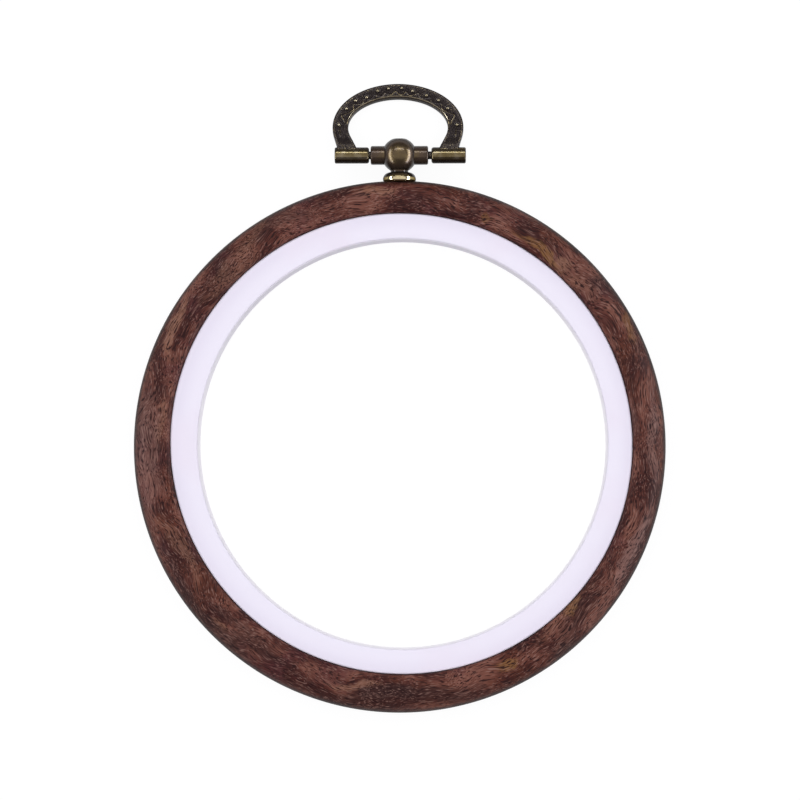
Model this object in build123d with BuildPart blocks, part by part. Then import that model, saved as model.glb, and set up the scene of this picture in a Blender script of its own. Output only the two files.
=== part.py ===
from build123d import *

import os
from math import acos, asin, atan2, cos, degrees, hypot, radians, sin, sqrt, tan

# Embroidery hoop lying on its back, in millimetres
# The origin is the centre of the sewing window on the table
# Z runs along the hoop's axis towards its front, and Y points to the hanger

# Inner hoop: a rigid ring with a lip around its back
HOOP_R = 40.0
HOOP_WALL = 4.5
HOOP_DEPTH = 7.8
HOOP_EDGE_ROUND = 0.35
WINDOW_EDGE_ROUND = 0.5
LIP_REACH = 2.0
LIP_THICKNESS = 1.2
LIP_ROUND = 0.4

# Outer hoop: a soft ring that grips the inner one and is thickest at the bottom and the left
GRIP_GAP = 0.1
RING_WALL = 6.25
RING_DEPTH = 8.5
RING_ROUND_SHARE = 0.4
RING_INNER_ROUND = 0.5
RING_DROP = 0.38
RING_SIDE = 0.54
TABLE_GAP = 0.1
LIP_PLAY = 0.2
LIP_SEAT_GAP = 0.1

# Hanger screw: it comes from inside the soft ring, at the ring's own middle, and holds the ball
SCREW_R = 1.0
SCREW_HOLE_GAP = 0.1
HEAD_R = 2.2
HEAD_HEIGHT = 1.0
HEAD_ROUND = 0.5
HEAD_PLAY = 0.3
HEAD_RECESS = 0.4
SLOT_WIDTH = 0.5
SLOT_DEPTH = 0.45
THREAD_GRIP = 1.75
THREAD_GAP = 0.01

# Collar: a domed bead between the soft ring and the ball
COLLAR_R = 2.88
COLLAR_FOOT_R = 2.5
COLLAR_HEIGHT = 1.75
COLLAR_BELLY = 0.6
COLLAR_SINK = 0.2
COLLAR_SEAT_PLAY = 0.05

# Boss: a flat-topped ball on a short neck, crossed by a tube
BALL_R = 3.1
BALL_TOP = 2.88
NECK_R = 1.55
NECK_HEIGHT = 0.35
TUBE_R = 1.65
TUBE_LENGTH = 10.08
TUBE_CHAMFER = 0.3
SOCKET_SPARE = 0.15

# Hinge pin: tight in the bail's knuckles and free in the tube
PIN_R = 0.7
PIN_CHAMFER = 0.15
PIN_RUN_GAP = 0.05
PIN_GRIP_GAP = 0.01
PIN_RECESS = 0.5
PIN_END_WALL = 0.8

# Bail: an elliptical arch on straight legs, cast in one with its two knuckles and left of their middle
KNUCKLE_R = 1.42
KNUCKLE_LENGTH = 6.03
KNUCKLE_INNER_CHAMFER = 0.4
KNUCKLE_OUTER_CHAMFER = 0.25
SIDE_PLAY = 0.41
SIDE_SHIFT = 0.15
PLATE_THICKNESS = 1.1
PLATE_STEP = 0.17
PLATE_EDGE_ROUND = 0.2
ARCH_HEIGHT = 13.45
ARCH_WAIST = 4.95
ARCH_BAND = 2.75
ARCH_SIDE = 0.4
LEG_HEIGHT = 3.2
REST_GAP = 0.02

# Ornament on the front of the arch: a thin inner rim and a row of beads
RIM_WIDTH = 0.35
RIM_HEIGHT = 0.12
RIM_SETBACK = 0.05
BEAD_R = 0.32
BEAD_SINK = 0.1
BEAD_SIDE_INSET = 1.15
BEAD_TOP_INSET = 0.75
BEAD_COUNT = 10
BEAD_FIRST_ANGLE = 31.0
END_BEAD_ANGLE = 4.0

# Overrun of every cut past the face where it starts or ends
OVERRUN = 0.5

# Places of the two rings
window_r = HOOP_R - HOOP_WALL
lip_r = HOOP_R + LIP_REACH
bore_r = HOOP_R + GRIP_GAP
ring_r = bore_r + RING_WALL
ring_round = RING_ROUND_SHARE * RING_DEPTH
ring_mid = TABLE_GAP + RING_DEPTH / 2
ring_top = ring_r - RING_DROP

# Places along the screw's line, which stands on the soft ring above the window
head_seat = bore_r + HEAD_RECESS + HEAD_HEIGHT
head_face = head_seat - HEAD_HEIGHT
screw_hole_r = SCREW_R + SCREW_HOLE_GAP
collar_foot = ring_top - COLLAR_SINK
collar_belly = collar_foot + COLLAR_BELLY
collar_top = collar_foot + COLLAR_HEIGHT
screw_tip = collar_top + THREAD_GRIP
neck_top = collar_top + NECK_HEIGHT
pin_y = neck_top + sqrt(BALL_R**2 - NECK_R**2)

# Places along the pin's line, measured from the screw's line
knuckle_start = TUBE_LENGTH / 2 + SIDE_PLAY
knuckle_end = knuckle_start + KNUCKLE_LENGTH
pin_left = SIDE_SHIFT - knuckle_end + PIN_END_WALL
pin_right = SIDE_SHIFT + knuckle_end - PIN_RECESS

# Lean of the bail, whose rounded back edge rests just above the table
plate_front = KNUCKLE_R - PLATE_STEP
plate_back = plate_front - PLATE_THICKNESS
edge_reach = ARCH_HEIGHT - PLATE_EDGE_ROUND
edge_depth = plate_back + PLATE_EDGE_ROUND
edge_drop = ring_mid - PLATE_EDGE_ROUND - REST_GAP
bail_lean = asin(edge_drop / hypot(edge_reach, edge_depth)) + atan2(edge_depth, edge_reach)

ring_centre = (-RING_SIDE, -RING_DROP, 0)
screw_line = Axis((-RING_SIDE, 0, ring_mid), (0, 1, 0))
pin_line = Axis((-RING_SIDE, pin_y, ring_mid), (1, 0, 0))
middle = Plane((-RING_SIDE, 0, ring_mid))
bail_plane = Plane(
    origin=(SIDE_SHIFT - RING_SIDE, pin_y, ring_mid),
    x_dir=(1, 0, 0),
    z_dir=(0, sin(bail_lean), cos(bail_lean)),
)


def facing_up(height):
    """Plane square to the screw's line, facing away from the window."""
    return Plane(origin=(-RING_SIDE, height, ring_mid), x_dir=(1, 0, 0), z_dir=(0, 1, 0))


def bar_profile(start, end, radius, start_chamfer, end_chamfer):
    """Half profile of a bar that lies on the pin's line and is chamfered at both ends."""
    with BuildSketch(middle) as profile:
        with BuildLine():
            Polyline(
                (start, pin_y),
                (start, pin_y + radius - start_chamfer),
                (start + start_chamfer, pin_y + radius),
                (end - end_chamfer, pin_y + radius),
                (end, pin_y + radius - end_chamfer),
                (end, pin_y),
                close=True,
            )
        make_face()
    return profile.sketch


def drill_along_pin(start, end, radius):
    """Cut a round hole along the pin's line."""
    with Locations(((start + end) / 2 - RING_SIDE, pin_y, ring_mid)):
        Cylinder(radius, end - start, rotation=(0, 90, 0), mode=Mode.SUBTRACT)


def arch_band(plane, outer_inset, inner_inset):
    """Band of the arch between two insets from its outer edge, with legs that run straight on to the pin."""
    with BuildSketch(plane) as band:
        for inset, mode in ((outer_inset, Mode.ADD), (inner_inset, Mode.SUBTRACT)):
            half_width = knuckle_end - inset
            rise = ARCH_HEIGHT - ARCH_WAIST - inset
            break_angle = asin((LEG_HEIGHT - ARCH_WAIST) / rise)
            break_x = half_width * cos(break_angle)
            foot_x = break_x + LEG_HEIGHT * half_width / rise * tan(break_angle)
            with BuildLine():
                EllipticalCenterArc(
                    center=(-ARCH_SIDE, ARCH_WAIST),
                    x_radius=half_width,
                    y_radius=rise,
                    start_angle=degrees(break_angle),
                    arc_size=180 - degrees(break_angle) * 2,
                )
                Polyline(
                    (-break_x - ARCH_SIDE, LEG_HEIGHT),
                    (-foot_x - ARCH_SIDE, 0),
                    (foot_x - ARCH_SIDE, 0),
                    (break_x - ARCH_SIDE, LEG_HEIGHT),
                )
            make_face(mode=mode)
    return band.sketch


# Inner hoop
with BuildPart() as inner_hoop:
    with BuildSketch(Plane.XZ) as hoop_section:
        with BuildLine():
            Polyline(
                (window_r, 0),
                (lip_r, 0),
                (lip_r, LIP_THICKNESS),
                (HOOP_R, LIP_THICKNESS),
                (HOOP_R, HOOP_DEPTH),
                (window_r, HOOP_DEPTH),
                close=True,
            )
        make_face()
        hoop_front = hoop_section.vertices().group_by(Axis.Y)[-1].sort_by(Axis.X)
        fillet(hoop_front[0], radius=WINDOW_EDGE_ROUND)
        fillet(hoop_front[-1], radius=HOOP_EDGE_ROUND)
        fillet(hoop_section.vertices().group_by(Axis.X)[-1], radius=LIP_ROUND)
    revolve(axis=Axis.Z)
inner_hoop.part.label = "inner_hoop"

# Outer hoop, with the lip's rebate, the counterbored screw hole and the collar's seat
with BuildPart() as outer_hoop:
    with BuildSketch(Plane(origin=ring_centre, x_dir=(1, 0, 0), z_dir=(0, -1, 0))) as ring_section:
        with Locations((ring_r / 2, ring_mid)):
            Rectangle(ring_r, RING_DEPTH)
        fillet(ring_section.vertices().group_by(Axis.X)[-1], radius=ring_round)
    revolve(axis=Axis(ring_centre, (0, 0, 1)))
    Hole(radius=bore_r)
    ring_front_edges = outer_hoop.edges().group_by(Axis.Z)[-1]
    fillet(ring_front_edges.sort_by(SortBy.RADIUS)[0], radius=RING_INNER_ROUND)
    with BuildSketch():
        Circle(lip_r + LIP_PLAY)
    extrude(amount=LIP_THICKNESS + LIP_SEAT_GAP, mode=Mode.SUBTRACT)
    bore_top = (-RING_SIDE, bore_r - OVERRUN, ring_mid)
    with Locations(Plane(origin=bore_top, x_dir=(1, 0, 0), z_dir=(0, -1, 0))):
        CounterBoreHole(
            radius=screw_hole_r,
            counter_bore_radius=HEAD_R + HEAD_PLAY,
            counter_bore_depth=OVERRUN + HEAD_RECESS + HEAD_HEIGHT,
            depth=OVERRUN + RING_WALL + OVERRUN,
        )
    with BuildSketch(facing_up(collar_foot)):
        Circle(COLLAR_R + COLLAR_SEAT_PLAY)
    extrude(amount=COLLAR_SINK + OVERRUN, mode=Mode.SUBTRACT)
outer_hoop.part.label = "outer_hoop"

# Hanger screw with a slotted round head
with BuildPart() as hanger_screw:
    with BuildSketch(middle) as screw_profile:
        with BuildLine():
            Polyline(
                (0, head_face),
                (HEAD_R, head_face),
                (HEAD_R, head_seat),
                (SCREW_R, head_seat),
                (SCREW_R, screw_tip),
                (0, screw_tip),
                close=True,
            )
        make_face()
        head_rim = screw_profile.vertices().group_by(Axis.Y)[0].sort_by(Axis.X)[-1]
        fillet(head_rim, radius=HEAD_ROUND)
    revolve(axis=screw_line)
    with BuildSketch(facing_up(head_face)):
        Rectangle(HEAD_R + HEAD_R + OVERRUN, SLOT_WIDTH)
    extrude(amount=SLOT_DEPTH, mode=Mode.SUBTRACT)
hanger_screw.part.label = "hanger_screw"

# Collar
with BuildPart() as hanger_collar:
    with BuildSketch(middle):
        with BuildLine():
            Line((screw_hole_r, collar_foot), (COLLAR_FOOT_R, collar_foot))
            EllipticalCenterArc(
                center=(COLLAR_FOOT_R, collar_belly),
                x_radius=COLLAR_R - COLLAR_FOOT_R,
                y_radius=COLLAR_BELLY,
                start_angle=-90,
                arc_size=90,
            )
            EllipticalCenterArc(
                center=(NECK_R, collar_belly),
                x_radius=COLLAR_R - NECK_R,
                y_radius=COLLAR_HEIGHT - COLLAR_BELLY,
                start_angle=0,
                arc_size=90,
            )
            Polyline((NECK_R, collar_top), (screw_hole_r, collar_top), (screw_hole_r, collar_foot))
        make_face()
    revolve(axis=screw_line)
hanger_collar.part.label = "hanger_collar"

# Boss
neck_angle = degrees(acos(NECK_R / BALL_R))
top_angle = degrees(asin(BALL_TOP / BALL_R))
tube_end = TUBE_LENGTH / 2
with BuildPart() as hanger_boss:
    with BuildSketch(middle):
        with BuildLine():
            Polyline((0, collar_top), (NECK_R, collar_top), (NECK_R, neck_top))
            ball = CenterArc((0, pin_y), BALL_R, -neck_angle, neck_angle + top_angle)
            Polyline(ball @ 1, (0, pin_y + BALL_TOP), (0, collar_top))
        make_face()
    revolve(axis=screw_line)
    revolve(bar_profile(-tube_end, tube_end, TUBE_R, TUBE_CHAMFER, TUBE_CHAMFER), axis=pin_line)
    drill_along_pin(-tube_end - OVERRUN, tube_end + OVERRUN, PIN_R + PIN_RUN_GAP)
    with BuildSketch(facing_up(collar_top)):
        Circle(SCREW_R + THREAD_GAP)
    extrude(amount=THREAD_GRIP + SOCKET_SPARE, mode=Mode.SUBTRACT)
hanger_boss.part.label = "hanger_boss"

# Hinge pin
with BuildPart() as hinge_pin:
    revolve(bar_profile(pin_left, pin_right, PIN_R, PIN_CHAMFER, PIN_CHAMFER), axis=pin_line)
hinge_pin.part.label = "hinge_pin"

# Bail
bead_turn = (180 - BEAD_FIRST_ANGLE - BEAD_FIRST_ANGLE) / (BEAD_COUNT - 1)
bead_angles = [BEAD_FIRST_ANGLE + bead_turn * place for place in range(BEAD_COUNT)]
bead_angles += [END_BEAD_ANGLE, 180 - END_BEAD_ANGLE]
bead_half_width = knuckle_end - BEAD_SIDE_INSET
bead_rise = ARCH_HEIGHT - ARCH_WAIST - BEAD_TOP_INSET
bead_places = [
    (bead_half_width * cos(radians(angle)) - ARCH_SIDE, ARCH_WAIST + bead_rise * sin(radians(angle)))
    for angle in bead_angles
]
rim_inset = ARCH_BAND - PLATE_EDGE_ROUND - RIM_SETBACK
left_knuckle = bar_profile(
    SIDE_SHIFT - knuckle_end,
    SIDE_SHIFT - knuckle_start,
    KNUCKLE_R,
    KNUCKLE_OUTER_CHAMFER,
    KNUCKLE_INNER_CHAMFER,
)
right_knuckle = bar_profile(
    SIDE_SHIFT + knuckle_start,
    SIDE_SHIFT + knuckle_end,
    KNUCKLE_R,
    KNUCKLE_INNER_CHAMFER,
    KNUCKLE_OUTER_CHAMFER,
)
with BuildPart() as hanger_bail:
    extrude(arch_band(bail_plane.offset(plate_back), 0, ARCH_BAND), amount=PLATE_THICKNESS)
    plate_faces = hanger_bail.faces().sort_by(Axis(bail_plane.origin, bail_plane.z_dir))
    fillet(plate_faces[0].edges() + plate_faces[-1].edges(), radius=PLATE_EDGE_ROUND)
    extrude(arch_band(bail_plane.offset(plate_front), rim_inset - RIM_WIDTH, rim_inset), amount=RIM_HEIGHT)
    with Locations(bail_plane.offset(plate_front - BEAD_SINK)):
        with Locations(*bead_places):
            Sphere(BEAD_R)
    revolve(left_knuckle, axis=pin_line)
    revolve(right_knuckle, axis=pin_line)
    drill_along_pin(pin_left, SIDE_SHIFT + knuckle_end + OVERRUN, PIN_R + PIN_GRIP_GAP)
hanger_bail.part.label = "hanger_bail"

os.makedirs("parts", exist_ok=True)
export_step(inner_hoop.part, "parts/inner_hoop.step")
export_step(outer_hoop.part, "parts/outer_hoop.step")
export_step(hanger_screw.part, "parts/hanger_screw.step")
export_step(hanger_collar.part, "parts/hanger_collar.step")
export_step(hanger_boss.part, "parts/hanger_boss.step")
export_step(hinge_pin.part, "parts/hinge_pin.step")
export_step(hanger_bail.part, "parts/hanger_bail.step")
print(f"bail leans {degrees(bail_lean):.3f} degrees, pin at y {pin_y:.4f}, z {ring_mid:.4f}")
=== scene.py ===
"""Embroidery hoop with a soft wood-look ring and an antique brass hanger.

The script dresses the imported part: it models each piece again with finer
edges and ornament, gives it its finish, and sets up a plain studio and the
camera. Sizes are in millimetres until a piece is finished.
"""

from __future__ import annotations

import logging
import math
from dataclasses import dataclass
from enum import Enum
from typing import Callable, Mapping, Optional, Sequence, Union

import bmesh
import bpy
from mathutils import Matrix, Vector

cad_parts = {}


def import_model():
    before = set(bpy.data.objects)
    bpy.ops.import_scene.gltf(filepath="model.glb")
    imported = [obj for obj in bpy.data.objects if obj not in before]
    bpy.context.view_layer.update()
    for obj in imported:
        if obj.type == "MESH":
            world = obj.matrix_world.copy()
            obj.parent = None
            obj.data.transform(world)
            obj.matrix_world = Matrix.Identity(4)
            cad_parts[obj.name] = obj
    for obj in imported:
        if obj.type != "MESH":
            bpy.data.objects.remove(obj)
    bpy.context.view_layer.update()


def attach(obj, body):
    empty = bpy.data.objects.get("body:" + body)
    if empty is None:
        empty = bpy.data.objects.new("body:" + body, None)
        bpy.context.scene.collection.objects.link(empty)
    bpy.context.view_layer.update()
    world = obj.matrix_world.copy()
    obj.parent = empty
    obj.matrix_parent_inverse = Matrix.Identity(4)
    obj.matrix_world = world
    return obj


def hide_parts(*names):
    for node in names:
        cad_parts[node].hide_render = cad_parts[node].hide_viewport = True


LOG = logging.getLogger("embroidery_hoop")
METRES = 0.001
# Points closer than MERGE become one, and sizes that differ by less than TINY are the same.
MERGE = 1e-4
TINY = 1e-3
# Facets round a turned shape: one that is looked at, one half hidden and one inside.
FINE, MEDIUM, COARSE = 96, 64, 48
# Edges that turn by less, in degrees, are shaded smooth.
SMOOTH_UNDER = 32.0
NORMAL_WEIGHT = 90
# The vertex attribute that says how far the patina is worn off and that paints shade, a darker
# tone, on faces that turn away from the front; and how far a normal has to point forward for
# the change from the shaded level to the worn one to start and to be complete.
WEAR_AND_SHADE = "wear_and_shade"
FORWARD = (0.6, 0.86)
Colour = tuple[float, float, float]
Place = tuple[float, float, float]
Pair = tuple[float, float]
# A rounded edge: its radius, its place along the line, the width and the facets.
Round = tuple[float, float, float, int]
Chosen = Callable[[Vector], bool]
Socket = bpy.types.NodeSocket
Sockets = Mapping[Union[int, str], object]


def paint(red: int, green: int, blue: int) -> Colour:
    """Turn a display colour, from 0 to 255, into the linear one that shaders use."""
    return tuple(
        c / 12.92 if c <= 0.04045 else ((c + 0.055) / 1.055) ** 2.4
        for c in (red / 255, green / 255, blue / 255)
    )


def ease(value: float, low: float, high: float) -> float:
    """Rise smoothly from 0 at low to 1 at high."""
    share = min(1.0, max(0.0, (value - low) / (high - low)))
    return share * share * (3 - 2 * share)


def step(value: float, middle: float, reach: float) -> float:
    """Rise smoothly from 0 to 1 round a middle."""
    return ease(value, middle - reach, middle + reach)


def linked(name: str, data: bpy.types.ID) -> bpy.types.Object:
    """Make an object of some data in the scene."""
    made = bpy.data.objects.new(name, data)
    bpy.context.scene.collection.objects.link(made)
    return made


def arithmetic(operation: str, reflected: bool = False) -> Callable[[Number, Reading], Number]:
    """Make the method behind an operator, with the other value first when it is reflected."""
    def method(value: Number, other: Reading) -> Number:
        """Work out the operation."""
        first, second = (other, value) if reflected else (value, other)
        return value.worked(operation, first, second)

    return method


class Number:
    """A shader value whose arithmetic adds Math nodes."""

    def __init__(self, nodes: Nodes, socket: Socket) -> None:
        """Wrap a socket of a node tree."""
        self.nodes = nodes
        self.socket = socket

    def worked(self, operation: str, first: Reading, second: Reading) -> Number:
        """Add one Math node."""
        node = self.nodes.add("ShaderNodeMath", {"operation": operation}, {0: first, 1: second})
        return Number(self.nodes, node.outputs[0])

    __add__, __radd__ = arithmetic("ADD"), arithmetic("ADD", True)
    __sub__, __rsub__ = arithmetic("SUBTRACT"), arithmetic("SUBTRACT", True)
    __mul__, __rmul__ = arithmetic("MULTIPLY"), arithmetic("MULTIPLY", True)
    __truediv__, __rtruediv__ = arithmetic("DIVIDE"), arithmetic("DIVIDE", True)
    at_least = arithmetic("MAXIMUM")

    def root(self) -> Number:
        """Give the square root."""
        return self.worked("SQRT", self, 0)

    def eased(self, low: float, high: float) -> Number:
        """Rise smoothly from 0 at low to 1 at high."""
        sockets = {0: self, 1: low, 2: high, 3: 0.0, 4: 1.0}
        node = self.nodes.add("ShaderNodeMapRange", {"interpolation_type": "SMOOTHSTEP"}, sockets)
        return Number(self.nodes, node.outputs[0])


Reading = Union[Number, float]


class Nodes:
    """Node tree of one material."""

    def __init__(self, name: str) -> None:
        """Start an empty material."""
        self.material = bpy.data.materials.new(name)
        self.material.use_nodes = True
        self.tree = self.material.node_tree
        self.tree.nodes.clear()

    def add(
        self, kind: str, settings: Optional[Mapping[str, object]] = None, sockets: Optional[Sockets] = None
    ) -> bpy.types.Node:
        """Add a node, set it up and fill or link its sockets.

        Args:
            kind: Blender's name for the node's type.
            settings: The node's own settings. A ramp's stops are (place, colour) pairs.
            sockets: Values or links for its inputs, by name or index.

        Returns:
            The new node.
        """
        node = self.tree.nodes.new(kind)
        for name, value in (settings or {}).items():
            if name == "stops":
                self._set_stops(node.color_ramp, value)
            else:
                setattr(node, name, value)
        for name, value in (sockets or {}).items():
            self._plug(node.inputs[name], value)
        return node

    @staticmethod
    def _set_stops(ramp: bpy.types.ColorRamp, stops: Sequence[tuple[float, Colour]]) -> None:
        """Give a ramp its stops."""
        while len(ramp.elements) < len(stops):
            ramp.elements.new(1.0)
        for element, (place, colour) in zip(ramp.elements, stops):
            element.position = place
            element.color = (*colour, 1.0)

    def _plug(self, socket: Socket, value: object) -> None:
        """Link a socket or set its value."""
        if isinstance(value, Number):
            self.tree.links.new(value.socket, socket)
        elif isinstance(value, Socket):
            self.tree.links.new(value, socket)
        elif socket.type == "RGBA":
            socket.default_value = (*value, 1.0)
        else:
            socket.default_value = value

    def millimetres(self) -> Socket:
        """Give the point on the piece in millimetres."""
        point = self.add("ShaderNodeTexCoord").outputs["Object"]
        return self.scaled(point, 1 / METRES)

    def vector_math(self, operation: str, sockets: Sockets) -> Socket:
        """Add one Vector Math node."""
        return self.add("ShaderNodeVectorMath", {"operation": operation}, sockets).outputs[0]

    def scaled(self, vector: Socket, factor: float) -> Socket:
        """Scale a vector."""
        return self.vector_math("SCALE", {0: vector, "Scale": factor})

    def split(self, vector: Socket) -> tuple[Number, Number, Number]:
        """Give a vector's three parts."""
        node = self.add("ShaderNodeSeparateXYZ", sockets={0: vector})
        return tuple(Number(self, part) for part in node.outputs)

    def joined(self, x: Reading, y: Reading, z: Reading) -> Socket:
        """Make a vector of three values."""
        return self.add("ShaderNodeCombineXYZ", sockets={0: x, 1: y, 2: z}).outputs[0]

    def noise(
        self, vector: Socket, scale: float, detail: float = 2.0, roughness: float = 0.5,
        depth: Optional[Reading] = None,
    ) -> Number:
        """Add a noise.

        Args:
            vector: Where it is read.
            scale: Its frequency, in cycles per unit of the vector.
            detail: Its octaves.
            roughness: How strong the finer octaves are.
            depth: The fourth coordinate, or None for a noise of three.

        Returns:
            The noise, from 0 to 1.
        """
        sockets = {"Vector": vector, "Scale": scale, "Detail": detail, "Roughness": roughness}
        if depth is not None:
            sockets["W"] = depth
        kind = "3D" if depth is None else "4D"
        node = self.add("ShaderNodeTexNoise", {"noise_dimensions": kind}, sockets)
        return Number(self, node.outputs[0])

    def drift(self, vector: Socket, scale: float, reach: float) -> Socket:
        """Push a vector about by a noise of some scale, up to the reach to each side."""
        colour = self.noise(vector, scale, 1.0).socket.node.outputs["Color"]
        centred = self.vector_math("SUBTRACT", {0: colour, 1: (0.5, 0.5, 0.5)})
        return self.vector_math("ADD", {0: vector, 1: self.scaled(centred, 2 * reach)})

    def ramp(self, value: Reading, stops: Sequence[tuple[float, Colour]]) -> Socket:
        """Colour a value by a ramp."""
        return self.add("ShaderNodeValToRGB", {"stops": stops}, {0: value}).outputs[0]

    def blended(self, share: Reading, first: object, second: object) -> Socket:
        """Blend two colours or colour sockets, of which the second shows by the share."""
        settings = {"data_type": "RGBA", "clamp_factor": True}
        return self.add("ShaderNodeMix", settings, {0: share, 6: first, 7: second}).outputs[2]

    def bumped(self, height: Number, distance: float, strength: float = 1.0) -> Socket:
        """Turn a height into a normal, where 1 is as high as the distance in millimetres."""
        sockets = {"Height": height, "Distance": distance * METRES, "Strength": strength}
        return self.add("ShaderNodeBump", sockets=sockets).outputs[0]

    def surface(self, sockets: Mapping[str, object]) -> bpy.types.Material:
        """End the tree in one shader for the whole surface."""
        shader = self.add("ShaderNodeBsdfPrincipled", sockets=sockets)
        self.add("ShaderNodeOutputMaterial", sockets={"Surface": shader.outputs[0]})
        return self.material


@dataclass(frozen=True)
class Stain:
    """A colour that shows as a noise or a distance runs from one value to another."""

    colour: Colour
    start: float
    full: float
    share: float = 1.0

    def over(self, nodes: Nodes, tone: object, value: Number) -> Socket:
        """Lay the stain over a colour or a colour socket."""
        return nodes.blended(value.eased(self.start, self.full) * self.share, tone, self.colour)


@dataclass(frozen=True)
class WhitePlastic:
    """Satin moulded plastic with a faint cool tint.

    The outer tone starts at a distance from the window's centre. The window's wall carries
    painted light and shade: a light tone on its lit side, and a grey painted shade where the wall
    lies that far towards the shaded side, as a share of the radius. The wall's tones start and
    are complete at a distance past the radius and at a height over the table.
    """

    inner: Colour = paint(246, 241, 252)
    outer: Stain = Stain(paint(238, 232, 245), 36.5, 39.8)
    blush: Stain = Stain(paint(243, 234, 246), 0.5, 0.75, 0.6)
    blush_scale: float = 0.07
    # Painted light: the lighter tone of the window's wall on its lit side.
    wall: Colour = paint(250, 246, 253)
    # Painted shade: the grey tone of the window's wall on the side that faces away from the light.
    shade: Stain = Stain(paint(211, 206, 218), 0.25, 0.95)
    shaded_degrees: float = 100.0
    window_radius: float = 35.65
    wall_edge: Pair = (0.2, 0.05)
    wall_height: Pair = (7.6, 5.0)
    grain_scale: float = 2.2
    grain_detail: float = 3.0
    grain_roughness: float = 0.08
    roughness: float = 0.38
    specular: float = 0.45
    pores_mm: float = 0.004

    def material(self) -> bpy.types.Material:
        """Build the finish."""
        nodes = Nodes("satin_white_plastic")
        point = nodes.millimetres()
        across, along, height = nodes.split(point)
        reach = (across * across + along * along).root()
        tone = self.outer.over(nodes, self.inner, reach)
        tone = self.blush.over(nodes, tone, nodes.noise(point, self.blush_scale))
        # Painted light and shade on the window's wall: lighter on the lit side, greyer towards the shaded
        # side, fading into the face's tone towards the front.
        on_wall = reach.eased(*(self.window_radius + past for past in self.wall_edge))
        shaded = math.radians(self.shaded_degrees)
        facing = (across * math.cos(shaded) + along * math.sin(shaded)) / self.window_radius
        wall = self.shade.over(nodes, self.wall, facing)
        tone = nodes.blended(on_wall * height.eased(*self.wall_height), tone, wall)
        grain = nodes.noise(point, self.grain_scale, self.grain_detail)
        return nodes.surface({
            "Base Color": tone,
            "Roughness": self.roughness + grain * self.grain_roughness,
            "Specular IOR Level": self.specular,
            "Normal": nodes.bumped(grain, self.pores_mm),
        })


class Tone(Enum):
    """Tones laid on the wood-look film: its own tan and amber, a grey-pink painted sheen, and a dark tone
    that is print in some patches and painted shade in others. Two tan patches are painted light.
    """

    TAN = paint(142, 97, 76)
    AMBER = paint(134, 92, 48)
    # Painted sheen: a light grey-pink laid where the ring's rounded sides catch the side lights.
    PAINTED_SHEEN = paint(136, 98, 89)
    # Dark print in some patches, and painted shade in the patches on the ring's lower side.
    DARK_PRINT_AND_SHADE = paint(52, 24, 21)


TAN, AMBER, PAINTED_SHEEN, DARK_PRINT_AND_SHADE = Tone


@dataclass(frozen=True)
class Patch:
    """A patch of another tone at one place of the ring.

    The angle is in degrees from +X, the inset in millimetres from the outer edge, the
    half length and half width in millimetres, the strength says how much of the tone
    shows, and the slant is in degrees to the ring.
    """

    tone: Tone
    angle: float
    inset: float
    length: float
    width: float
    strength: float = 0.6
    slant: float = 0.0


@dataclass(frozen=True)
class Streaks:
    """Streaks along the ring: length and width in millimetres, noise detail and stains."""

    length: float
    width: float
    detail: float
    stains: tuple[Stain, ...] = ()


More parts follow.
